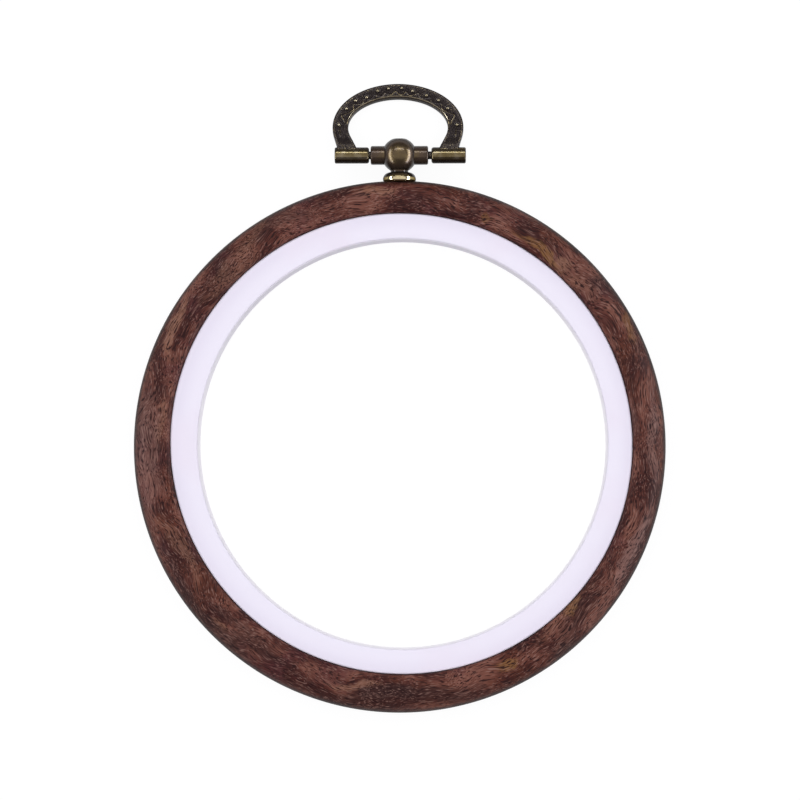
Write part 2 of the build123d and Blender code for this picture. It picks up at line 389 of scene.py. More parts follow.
@dataclass(frozen=True)
class BurlFilm:
    """Soft plastic under a printed film that looks like dark burl wood, with painted sheen, light and shade
    laid over the print.

    The sweeps and the rag are each a noise's scale and how far it pushes the pattern.
    """

    ring_radius: float
    ring_centre: Pair
    dark: Colour = paint(62, 18, 11)
    middle: Colour = paint(89, 41, 30)
    light: Colour = paint(121, 72, 58)
    fleck: Colour = paint(150, 113, 101)
    broad_stops: tuple[float, float, float] = (0.4, 0.5, 0.6)
    broad: Streaks = Streaks(9.0, 3.6, 2.0)
    bands: Streaks = Streaks(6.0, 0.8, 2.0, (Stain(dark, 0.5, 0.66, 0.22), Stain(fleck, 0.46, 0.32, 0.12)))
    fine: Streaks = Streaks(1.6, 0.16, 1.0, (
        Stain(paint(38, 4, 3), 0.53, 0.62, 0.95), Stain(fleck, 0.44, 0.3, 0.6),
    ))
    streak_contrast: float = 0.55
    tints: tuple[Stain, ...] = (
        Stain(paint(88, 39, 45), 0.52, 0.68, 0.45), Stain(paint(103, 50, 28), 0.46, 0.32, 0.45),
    )
    tint_scale: float = 0.16
    tint_seed: float = 3.0
    # Painted shade: a dark grey-brown that darkens the outermost strip of the ring's edge.
    rim: Stain = Stain(paint(38, 24, 24), -0.8, -0.15, 0.8)
    sweeps: tuple[Pair, ...] = ((0.075, 4.0), (0.3, 0.6))
    rag: Pair = (0.8, 0.7)
    patch_edge: Pair = (1.25, 0.55)
    patch_depth: float = 40.0
    groove: Pair = (0.45, 0.65)
    groove_mm: float = 0.03
    groove_strength: float = 0.8
    roughness: float = 0.46
    fine_roughness: float = 0.12
    specular: float = 0.14
    # Most patches are tones of the film. The grey-pink sheen patches are painted sheen where the ring's
    # sides catch the side lights, the dark patches from -45 to -137 degrees are painted shade on the lower
    # side, which faces away from the light, and the tan patches at 131 and 135 degrees are painted light on
    # the upper left, the brighter side.
    patches: tuple[Patch, ...] = tuple(Patch(*row) for row in (
        (TAN, 151.0, 2.9, 5.2, 1.0, 0.8, 14.0), (TAN, 173.0, 4.3, 5.0, 0.9, 0.5),
        (TAN, 95.0, 1.9, 3.2, 0.8, 0.8, -8.0), (AMBER, 54.0, 4.7, 4.4, 0.9, 0.75),
        (TAN, 49.0, 3.2, 1.8, 1.1, 0.9, 30.0), (AMBER, 67.5, 4.0, 1.5, 1.0, 0.5),
        (AMBER, 28.0, 2.8, 2.8, 0.9, 0.5), (PAINTED_SHEEN, -23.0, 1.7, 9.0, 0.9, 0.7),
        (AMBER, -43.0, 4.6, 2.0, 0.9, 0.75), (AMBER, -64.0, 4.5, 1.8, 0.7, 0.7),
        (TAN, -101.0, 4.1, 6.0, 0.7, 0.7, 10.0), (TAN, -137.0, 2.2, 2.4, 0.9),
        (TAN, -156.0, 3.5, 7.0, 1.2, 0.4), (DARK_PRINT_AND_SHADE, 136.0, 3.4, 3.4, 1.6, 0.6, 40.0),
        (DARK_PRINT_AND_SHADE, 119.0, 3.0, 8.0, 1.7, 0.5), (DARK_PRINT_AND_SHADE, 39.0, 2.4, 2.4, 1.8), (DARK_PRINT_AND_SHADE, -51.0, 1.3, 4.0, 1.0, 0.7),
        (DARK_PRINT_AND_SHADE, -127.0, 2.8, 6.0, 1.7), (DARK_PRINT_AND_SHADE, -176.0, 3.0, 1.6, 1.4, 0.5),
        (DARK_PRINT_AND_SHADE, -98.0, 1.2, 16.0, 1.5, 0.5), (DARK_PRINT_AND_SHADE, -137.0, 1.0, 12.0, 1.5, 0.75),
        (DARK_PRINT_AND_SHADE, -87.0, 3.0, 15.0, 2.3, 0.75), (DARK_PRINT_AND_SHADE, -45.0, 2.8, 9.0, 1.7, 0.45),
        (PAINTED_SHEEN, 2.0, 1.0, 9.0, 1.0), (PAINTED_SHEEN, 181.0, 2.6, 12.0, 2.2, 0.4),
        (TAN, 131.0, 3.3, 9.0, 1.6, 0.35, 8.0), (TAN, 44.0, 4.6, 7.0, 1.1, 0.3),
        (TAN, 135.0, 5.3, 8.0, 0.9, 0.3), (TAN, -45.0, 5.3, 8.0, 0.9, 0.25),
        (PAINTED_SHEEN, 2.0, 5.2, 8.0, 0.9, 0.3), (DARK_PRINT_AND_SHADE, 45.0, 3.2, 8.0, 1.4, 0.2), (DARK_PRINT_AND_SHADE, -91.0, 3.4, 9.0, 1.6),
        (DARK_PRINT_AND_SHADE, -135.0, 5.0, 8.0, 1.2, 0.55),
    ))

    def material(self) -> bpy.types.Material:
        """Build the finish."""
        nodes = Nodes("burl_look_film")
        point = nodes.millimetres()
        waved = point
        for scale, push in self.sweeps:
            waved = nodes.drift(waved, scale, push)
        across, along, height = nodes.split(waved)
        reach = (across * across + along * along).root()
        turn_x = across / reach * self.ring_radius
        turn_y = along / reach * self.ring_radius

        def drawn(streaks: Streaks) -> Number:
            """Draw a noise out along the ring."""
            vector = nodes.joined(turn_x / streaks.length, turn_y / streaks.length, reach / streaks.width)
            return nodes.noise(vector, 1.0, streaks.detail, self.streak_contrast, height / streaks.width)

        stops = zip(self.broad_stops, (self.dark, self.middle, self.light))
        tone = nodes.ramp(drawn(self.broad), list(stops))
        tint = nodes.noise(point, self.tint_scale, depth=self.tint_seed)
        for stain in self.tints:
            tone = stain.over(nodes, tone, tint)
        ragged = nodes.drift(waved, *self.rag)
        # The patches lay tones of the film, painted sheen, painted light and painted shade over the streaks.
        for patch in self.patches:
            tone = nodes.blended(self._cover(nodes, ragged, patch), tone, patch.tone.value)
        bands, fine = drawn(self.bands), drawn(self.fine)
        for streaks, noise in ((self.bands, bands), (self.fine, fine)):
            for stain in streaks.stains:
                tone = stain.over(nodes, tone, noise)
        # Painted shade along the ring's outer edge, by the distance from the ring's outer radius.
        own_x, own_y, _ = nodes.split(point)
        rim_x, rim_y = own_x - self.ring_centre[0], own_y - self.ring_centre[1]
        outward = (rim_x * rim_x + rim_y * rim_y).root()
        tone = self.rim.over(nodes, tone, outward - self.ring_radius)
        return nodes.surface({
            "Base Color": tone,
            "Roughness": self.roughness + fine * self.fine_roughness,
            "Specular IOR Level": self.specular,
            "Normal": nodes.bumped(1 - fine.eased(*self.groove), self.groove_mm, self.groove_strength),
        })

    def _cover(self, nodes: Nodes, point: Socket, patch: Patch) -> Number:
        """Give how much a patch covers of a point, from 0 to the patch's strength."""
        turn = math.radians(patch.angle)
        reach = self.ring_radius - patch.inset
        across, along = self.ring_centre
        local = nodes.add("ShaderNodeMapping", {"vector_type": "TEXTURE"}, {
            "Vector": point,
            "Location": (across + reach * math.cos(turn), along + reach * math.sin(turn), 0.0),
            "Rotation": (0.0, 0.0, turn - math.pi / 2 + math.radians(patch.slant)),
            "Scale": (patch.length, patch.width, self.patch_depth),
        })
        away = nodes.add("ShaderNodeVectorMath", {"operation": "LENGTH"}, {0: local.outputs[0]})
        return Number(nodes, away.outputs["Value"]).eased(*self.patch_edge) * patch.strength


class Patina(Enum):
    """How far the brass is darkened: in its recesses and where shade is painted, on its body, where it is
    worn and where bare.
    """

    CAST = (paint(34, 28, 29), paint(64, 57, 52), paint(112, 98, 66), paint(226, 215, 190))
    TURNED = (paint(28, 22, 22), paint(80, 65, 52), paint(116, 99, 62), paint(196, 178, 132))
    BRIGHT = (paint(40, 32, 24), paint(126, 108, 72), paint(190, 174, 124), paint(242, 228, 186))


@dataclass(frozen=True)
class AntiqueBrass:
    """Brass under a brown patina that is worn off where it is touched, and darker where the vertex attribute
    paints shade on faces that turn away.
    """

    patina: Patina
    roughness: float
    pits_mm: float
    speckle: float = 0.35
    coat: float = 0.15
    coat_roughness: float = 0.13
    stain_scale: float = 0.55
    stain_share: float = 0.3
    stain_roughness: float = 0.1
    speck_scale: float = 5.0
    grain: float = 0.6
    dull: Pair = (0.62, 0.44)
    dark_specks: Pair = (0.54, 0.66)
    light_specks: Pair = (0.42, 0.3)
    stops: tuple[float, ...] = (0.05, 0.4, 0.65, 1.0)
    metal: Pair = (0.2, 0.55)
    least_metal: float = 0.35
    bump: float = 0.7

    def material(self) -> bpy.types.Material:
        """Build the finish."""
        nodes = Nodes(f"antique_brass_{self.patina.name.lower()}")
        point = nodes.millimetres()
        stain = nodes.noise(point, self.stain_scale, 3.0, self.grain)
        speck = nodes.noise(point, self.speck_scale, 2.0, self.grain)
        # The attribute carries the worn patina and the painted shade on faces that turn away.
        wear_and_shade = Number(nodes, nodes.add("ShaderNodeAttribute", {"attribute_name": WEAR_AND_SHADE}).outputs["Fac"])
        rough = wear_and_shade.eased(*self.dull)
        level = wear_and_shade + (stain - 0.5) * self.stain_share
        level = level - speck.eased(*self.dark_specks) * rough * self.speckle
        level = level + speck.eased(*self.light_specks) * rough * self.speckle
        return nodes.surface({
            "Base Color": nodes.ramp(level, list(zip(self.stops, self.patina.value))),
            "Metallic": level.eased(*self.metal) * (1 - self.least_metal) + self.least_metal,
            "Roughness": self.roughness + stain * self.stain_roughness,
            "Specular Tint": self.patina.value[0],
            "Coat Weight": self.coat,
            "Coat Roughness": self.coat_roughness,
            "Normal": nodes.bumped(speck * rough, self.pits_mm, self.bump),
        })


class Cut(Enum):
    """What a tool does to a workpiece."""

    AWAY = "DIFFERENCE"
    TOGETHER = "UNION"


@dataclass(frozen=True)
class Turning:
    """A line that shapes are turned about, as a point, a direction and a radial direction."""

    centre: Place
    axis: Place
    outward: Place

    def at(self, radius: float, along: float) -> Vector:
        """Give the point at a radius and a distance along the line."""
        return Vector(self.centre) + Vector(self.outward) * radius + Vector(self.axis) * along

    def read(self, point: Vector) -> Pair:
        """Give a point's radius and its distance along the line."""
        offset = point - Vector(self.centre)
        along = offset.dot(Vector(self.axis))
        return (offset - Vector(self.axis) * along).length, along


class Workpiece:
    """A mesh under way, in millimetres, that ends as one named piece."""

    def __init__(self) -> None:
        """Start with nothing."""
        self.mesh = bmesh.new()

    def turned(
        self, line: Turning, profile: Sequence[Pair], steps: int, rounds: Sequence[Round] = ()
    ) -> Workpiece:
        """Turn a closed outline all the way round a line.

        Args:
            line: The line to turn about.
            profile: Radius and place along the line of each corner, in order.
            steps: Steps of the turn.
            rounds: Edges that are rounded then: radius, place on the line, width, facets.

        Returns:
            The workpiece.
        """
        corners = [self.mesh.verts.new(line.at(radius, along)) for radius, along in profile]
        edges = [
            self.mesh.edges.new(pair)
            for pair in zip(corners, corners[1:] + corners[:1])
            if max(line.read(v.co)[0] for v in pair) > TINY
        ]
        bmesh.ops.spin(
            self.mesh, geom=corners + edges, cent=line.centre, axis=line.axis,
            angle=math.tau, steps=steps, use_merge=True,
        )
        self.merged()
        bmesh.ops.dissolve_degenerate(self.mesh, edges=self.mesh.edges[:], dist=MERGE)
        self.outward()
        for radius, along, width, facets in rounds:
            self.bevelled(self._ring_edges(line, radius, along), width, facets)
        return self

    def bar(
        self, line: Turning, ends: Pair, radius: float, sides: int,
        rounds: Sequence[float] = (), facets: int = 4,
    ) -> Workpiece:
        """Add a closed round bar.

        Args:
            line: The line that it lies on.
            ends: Where on the line it starts and ends.
            radius: Its radius.
            sides: Its facets all round.
            rounds: How far its two ends are rounded, if they are.
            facets: Facets of each rounding.

        Returns:
            The workpiece.
        """
        start, end = ends
        spots = [(radius, place, width, facets) for place, width in zip(ends, rounds)]
        return self.turned(line, [(0, start), (radius, start), (radius, end), (0, end)], sides, spots)

    def _ring_edges(self, line: Turning, radius: float, along: float) -> list[bmesh.types.BMEdge]:
        """Find the round edge at a radius and a place along a line."""
        found = set()
        for vertex in self.mesh.verts:
            own_radius, own_place = line.read(vertex.co)
            if abs(own_radius - radius) < TINY and abs(own_place - along) < TINY:
                found.add(vertex)
        return [edge for edge in self.mesh.edges if found.issuperset(edge.verts)]

    def bevelled(self, edges: Sequence[bmesh.types.BMEdge], width: float, facets: int) -> None:
        """Round the given edges."""
        bmesh.ops.bevel(
            self.mesh, geom=edges, offset=width, offset_type="OFFSET", affect="EDGES",
            segments=facets, profile=0.5, material=-1, clamp_overlap=False,
        )

    def moved(self, chosen: Chosen, by: Place) -> None:
        """Move the chosen vertices."""
        verts = [v for v in self.mesh.verts if chosen(v.co)]
        bmesh.ops.translate(self.mesh, verts=verts, vec=by)

    def merged(self) -> Workpiece:
        """Make points that lie together one."""
        bmesh.ops.remove_doubles(self.mesh, verts=self.mesh.verts[:], dist=MERGE)
        return self

    def transformed(self, matrix: Matrix) -> Workpiece:
        """Turn, move or scale all of it."""
        bmesh.ops.transform(self.mesh, matrix=matrix, verts=self.mesh.verts[:])
        return self

    def outward(self) -> Workpiece:
        """Point all faces outwards."""
        bmesh.ops.recalc_face_normals(self.mesh, faces=self.mesh.faces[:])
        return self

    def cut(self, tool: Workpiece, how: Cut) -> Workpiece:
        """Take a tool away from the workpiece or join it on.

        Args:
            tool: The other mesh, which is used up.
            how: Whether it is taken away or joined on.

        Returns:
            The workpiece.
        """
        target, other = self.placed("target"), tool.placed("tool")
        modifier = target.modifiers.new("cut", "BOOLEAN")
        modifier.operation = how.value
        modifier.solver = "EXACT"
        modifier.object = other
        graph = bpy.context.evaluated_depsgraph_get()
        result = bpy.data.meshes.new_from_object(target.evaluated_get(graph), depsgraph=graph)
        self.mesh.clear()
        self.mesh.from_mesh(result)
        for used in (target, other):
            data = used.data
            bpy.data.objects.remove(used)
            bpy.data.meshes.remove(data)
        bpy.data.meshes.remove(result)
        tool.mesh.free()
        return self

    def worn_and_shaded(self, hidden: float, shown: float, where: Optional[Chosen] = None) -> Workpiece:
        """Set the vertex level that wears the patina down on the front, the side that is touched, and paints
        shade on the faces that turn away.

        Args:
            hidden: Level on the faces that look away, from 0 to 1; a low level paints them dark as shade.
            shown: Level on the faces that look forward, where the patina is worn.
            where: Which points are set, or None for all.

        Returns:
            The workpiece.
        """
        wear_and_shade = self.mesh.verts.layers.float.get(WEAR_AND_SHADE) or self.mesh.verts.layers.float.new(WEAR_AND_SHADE)
        self.mesh.normal_update()
        for vertex in self.mesh.verts:
            if where is None or where(vertex.co):
                vertex[wear_and_shade] = hidden + (shown - hidden) * ease(vertex.normal.z, *FORWARD)
        return self

    def placed(self, name: str) -> bpy.types.Object:
        """Put a copy of the mesh in the scene as it is."""
        data = bpy.data.meshes.new(name)
        self.mesh.to_mesh(data)
        return linked(name, data)

    def finished(self, name: str, material: bpy.types.Material, body: str, node: str, slot: str) -> None:
        """End the workpiece as a smooth-shaded piece in metres, at the origin.

        Args:
            name: The piece's name.
            material: Its finish.
            body: The body it rides on.
            node: The node it stands for.
            slot: The material slot of the part that it stands for; not used.
        """
        piece = self.merged().outward().transformed(Matrix.Scale(METRES, 4)).placed(name)
        self.mesh.free()
        piece.data.shade_smooth()
        piece.data.set_sharp_from_angle(angle=math.radians(SMOOTH_UNDER))
        piece.data.materials.append(material)
        weighted = piece.modifiers.new("weighted_normals", "WEIGHTED_NORMAL")
        weighted.keep_sharp = True
        weighted.weight = NORMAL_WEIGHT
        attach(piece, body)
        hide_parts(node)
        LOG.info("%s: %d faces, rides on %s", name, len(piece.data.polygons), body)


@dataclass
class Hoops:
    """The rigid inner hoop and the soft ring round it."""

    radius: float = 40.0
    wall: float = 4.35
    depth: float = 7.8
    front_round: float = 0.35
    window_round: float = 0.3
    lip_reach: float = 2.0
    lip_thickness: float = 1.2
    lip_round: float = 0.4
    grip_gap: float = 0.1
    ring_wall: float = 6.25
    ring_depth: float = 8.5
    ring_round: float = 3.4
    ring_inner_round: float = 0.75
    ring_drop: float = 0.38
    ring_side: float = 0.54
    table_gap: float = 0.1
    lip_play: float = 0.2
    lip_seat_gap: float = 0.1
    grip_stretch: Place = (1.0055, 0.9979, 1.0)
    grip_degrees: float = -33.3
    grip_aside: Place = (-0.229, 0.089, 0.0)
    steps: int = 288
    line: Turning = Turning((0, 0, 0), (0, 0, 1), (1, 0, 0))

    def gripped(self, piece: Workpiece, chosen: Chosen) -> Workpiece:
        """Stretch the chosen points, where the two hoops meet, because they aren't quite round."""
        turn = Matrix.Rotation(math.radians(-self.grip_degrees), 4, "Z")
        verts = [v for v in piece.mesh.verts if chosen(v.co)]
        bmesh.ops.scale(piece.mesh, vec=self.grip_stretch, space=turn, verts=verts)
        bmesh.ops.translate(piece.mesh, vec=self.grip_aside, verts=verts)
        return piece

    @property
    def ring_radius(self) -> float:
        """Outer radius of the soft ring."""
        return self.radius + self.grip_gap + self.ring_wall

    def inner_hoop(self) -> Workpiece:
        """Model the rigid hoop with the lip round its back."""
        window, lip = self.radius - self.wall, self.radius + self.lip_reach
        middle = (window + self.radius) / 2
        hoop = Workpiece().turned(self.line, [
            (window, 0), (lip, 0), (lip, self.lip_thickness), (self.radius, self.lip_thickness),
            (self.radius, self.depth), (window, self.depth),
        ], self.steps, [
            (self.radius, self.depth, self.front_round, 6), (window, self.depth, self.window_round, 5),
            (lip, 0, self.lip_round, 4), (lip, self.lip_thickness, self.lip_round, 4),
        ])
        return self.gripped(hoop, lambda co: co.xy.length > middle and co.z > 2 * self.lip_thickness)

    def soft_ring(self, socket: Workpiece) -> Workpiece:
        """Model the soft ring, which is thicker away from the hanger.

        Args:
            socket: The space for the hanger's screw and collar.

        Returns:
            The ring.
        """
        bore, outer = self.radius + self.grip_gap, self.ring_radius
        rebate = self.radius + self.lip_reach + self.lip_play
        back, front = self.table_gap, self.table_gap + self.ring_depth
        ledge = self.lip_thickness + self.lip_seat_gap
        ring = Workpiece().turned(self.line, [
            (rebate, back), (outer, back), (outer, front), (bore, front), (bore, ledge), (rebate, ledge),
        ], self.steps, [
            (outer, front, self.ring_round, 14), (outer, back, self.ring_round, 14),
            (bore, front, self.ring_inner_round, 6),
        ])
        self.gripped(ring, lambda co: co.xy.length < rebate - TINY and co.z > 2 * ledge)
        ring.moved(lambda co: co.xy.length > rebate + TINY, (-self.ring_side, -self.ring_drop, 0))
        return ring.cut(socket, Cut.AWAY)

    def build(self, socket: Workpiece) -> None:
        """Make and dress both hoops."""
        plastic = WhitePlastic().material()
        film = BurlFilm(self.ring_radius, (-self.ring_side, -self.ring_drop)).material()
        self.inner_hoop().finished("white_hoop", plastic, "inner_ring", "inner_hoop", "white_plastic")
        ring = self.soft_ring(socket)
        ring.finished("wood_look_ring", film, "outer_ring", "outer_hoop", "wood_look_vinyl")


@dataclass
class Hinged:
    """What the hanger and its bail share: the place of the hinge pin."""

    middle: float = 4.35
    aside: float = -0.54
    pin_y: float = 50.5547

    @property
    def pin_line(self) -> Turning:
        """The hinge pin's axis."""
        return Turning((self.aside, self.pin_y, self.middle), (1, 0, 0), (0, 0, 1))


@dataclass
class Hanger(Hinged):
    """Screw, collar and ball with its cross tube, on the soft ring above the window."""

    screw_radius: float = 1.0
    hole_radius: float = 1.1
    head_radius: float = 2.2
    head_face: float = 40.5
    head_seat: float = 41.5
    head_round: float = 0.5
    head_room: float = 0.3
    slot_width: float = 0.5
    slot_depth: float = 0.45
    screw_tip: float = 49.27
    collar_foot: float = 45.77
    collar_top: float = 47.52
    collar_radius: float = 2.88
    collar_foot_round: float = 0.5
    collar_top_round: float = 1.15
    # How far over the collar's rounded foot its worn front ends; above it the collar keeps a dark tone as
    # painted shadow under the ball.
    collar_shadow_edge: float = 0.4
    seat_play: float = 0.05
    neck_radius: float = 1.55
    neck_sunk: float = 1.0
    ball_radius: float = 3.1
    ball_top: float = 2.88
    ball_rim_round: float = 0.22
    ball_skin: float = 0.1
    tube_radius: float = 1.65
    tube_half: float = 5.04
    tube_round: float = 0.3
    bore_radius: float = 0.75
    socket_depth: float = 1.9
    socket_play: float = 0.01
    overrun: float = 0.6

    @property
    def screw_line(self) -> Turning:
        """The screw's axis, whose distances are measured from the window's centre."""
        return Turning((self.aside, 0, self.middle), (0, 1, 0), (0, 0, 1))

    def ring_socket(self) -> Workpiece:
        """Model the space that the screw, its head and the collar take in the soft ring."""
        head, seat = self.head_radius + self.head_room, self.collar_radius + self.seat_play
        start, end = self.head_face - 2 * self.overrun, self.collar_foot + 2 * self.overrun
        return Workpiece().turned(self.screw_line, [
            (0, start), (head, start), (head, self.head_seat), (self.hole_radius, self.head_seat),
            (self.hole_radius, self.collar_foot), (seat, self.collar_foot), (seat, end), (0, end),
        ], FINE)

    def screw(self) -> Workpiece:
        """Model the slotted screw."""
        screw = Workpiece().turned(self.screw_line, [
            (0, self.head_face), (self.head_radius, self.head_face), (self.head_radius, self.head_seat),
            (self.screw_radius, self.head_seat), (self.screw_radius, self.screw_tip), (0, self.screw_tip),
        ], MEDIUM, [(self.head_radius, self.head_face, self.head_round, 5)])
        slot = Workpiece()
        bmesh.ops.create_cube(slot.mesh, size=1.0)
        size = (2 * (self.head_radius + self.overrun), 2 * self.slot_depth, self.slot_width, 1)
        place = Matrix.Translation(self.screw_line.at(0, self.head_face))
        return screw.cut(slot.transformed(place @ Matrix.Diagonal(size)), Cut.AWAY)

    def collar(self) -> Workpiece:
        """Model the domed collar."""
        return Workpiece().turned(self.screw_line, [
            (self.hole_radius, self.collar_foot), (self.collar_radius, self.collar_foot),
            (self.collar_radius, self.collar_top), (self.hole_radius, self.collar_top),
        ], FINE, [
            (self.collar_radius, self.collar_top, self.collar_top_round, 10),
            (self.collar_radius, self.collar_foot, self.collar_foot_round, 6),
        ])

    def ball(self) -> Workpiece:
        """Model the flat-topped ball with its neck and cross tube."""
        ball = Workpiece()
        bmesh.ops.create_uvsphere(ball.mesh, u_segments=FINE, v_segments=MEDIUM, radius=self.ball_radius)
        upright = Matrix.Rotation(math.radians(-90), 4, "X")
        ball.transformed(Matrix.Translation(self.pin_line.centre) @ upright)
        everything = ball.mesh.verts[:] + ball.mesh.edges[:] + ball.mesh.faces[:]
        cut = bmesh.ops.bisect_plane(
            ball.mesh, geom=everything, plane_co=(0, self.pin_y + self.ball_top, 0), plane_no=(0, 1, 0),
            clear_outer=True,
        )
        rim = [e for e in cut["geom_cut"] if isinstance(e, bmesh.types.BMEdge)]
        bmesh.ops.contextual_create(ball.mesh, geom=rim)
        ball.bevelled(rim, self.ball_rim_round, 4)
        half, reach = self.tube_half, self.tube_half + self.overrun
        neck = (self.collar_top, self.pin_y - self.neck_sunk)
        socket = (self.collar_top - self.overrun, self.collar_top + self.socket_depth)
        for how, line, ends, radius, sides, rounds in (
            (Cut.TOGETHER, self.screw_line, neck, self.neck_radius, MEDIUM, ()),
            (Cut.TOGETHER, self.pin_line, (-half, half), self.tube_radius, FINE, (self.tube_round,) * 2),
            (Cut.AWAY, self.pin_line, (-reach, reach), self.bore_radius, COARSE, ()),
            (Cut.AWAY, self.screw_line, socket, self.screw_radius + self.socket_play, COARSE, ()),
        ):
            ball.cut(Workpiece().bar(line, ends, radius, sides, rounds), how)
        return ball

    def _on_ball(self, point: Vector) -> bool:
        """Say whether a point lies on the ball's round side."""
        offset = point - Vector(self.pin_line.centre)
        beside, above = abs(offset.x) < self.ball_radius, abs(offset.y) < self.ball_top
        return offset.length > self.ball_radius - self.ball_skin and beside and above

    def build(self) -> None:
        """Make and dress the three pieces."""
        bright = AntiqueBrass(Patina.BRIGHT, roughness=0.1, pits_mm=0.006, speckle=0.12).material()
        turned = AntiqueBrass(Patina.TURNED, roughness=0.25, pits_mm=0.001, speckle=0.1, coat=0.4).material()
        # Worn patina in front and painted shade on faces that turn away; the collar's upper part next to the
        # ball stays dark as painted shadow under the ball, and the ball's underside and neck keep the
        # darkest tone as painted shade.
        dome = self.collar_foot + self.collar_foot_round + self.collar_shadow_edge
        tube_foot = self.pin_y - self.tube_radius - TINY
        screw = self.screw().worn_and_shaded(hidden=0.3, shown=0.6)
        collar = self.collar().worn_and_shaded(hidden=0.0, shown=0.15)
        collar.worn_and_shaded(hidden=0.5, shown=0.85, where=lambda co: co.y < dome)
        ball = self.ball().worn_and_shaded(hidden=0.26, shown=0.34, where=lambda co: co.y > tube_foot)
        ball.worn_and_shaded(hidden=0.24, shown=0.5, where=self._on_ball)
        screw.finished("slotted_screw", bright, "outer_ring", "hanger_screw", "bright_brass")
        collar.finished("domed_collar", bright, "outer_ring", "hanger_collar", "bright_brass")
        ball.finished("ball_and_tube", turned, "outer_ring", "hanger_boss", "antique_brass")


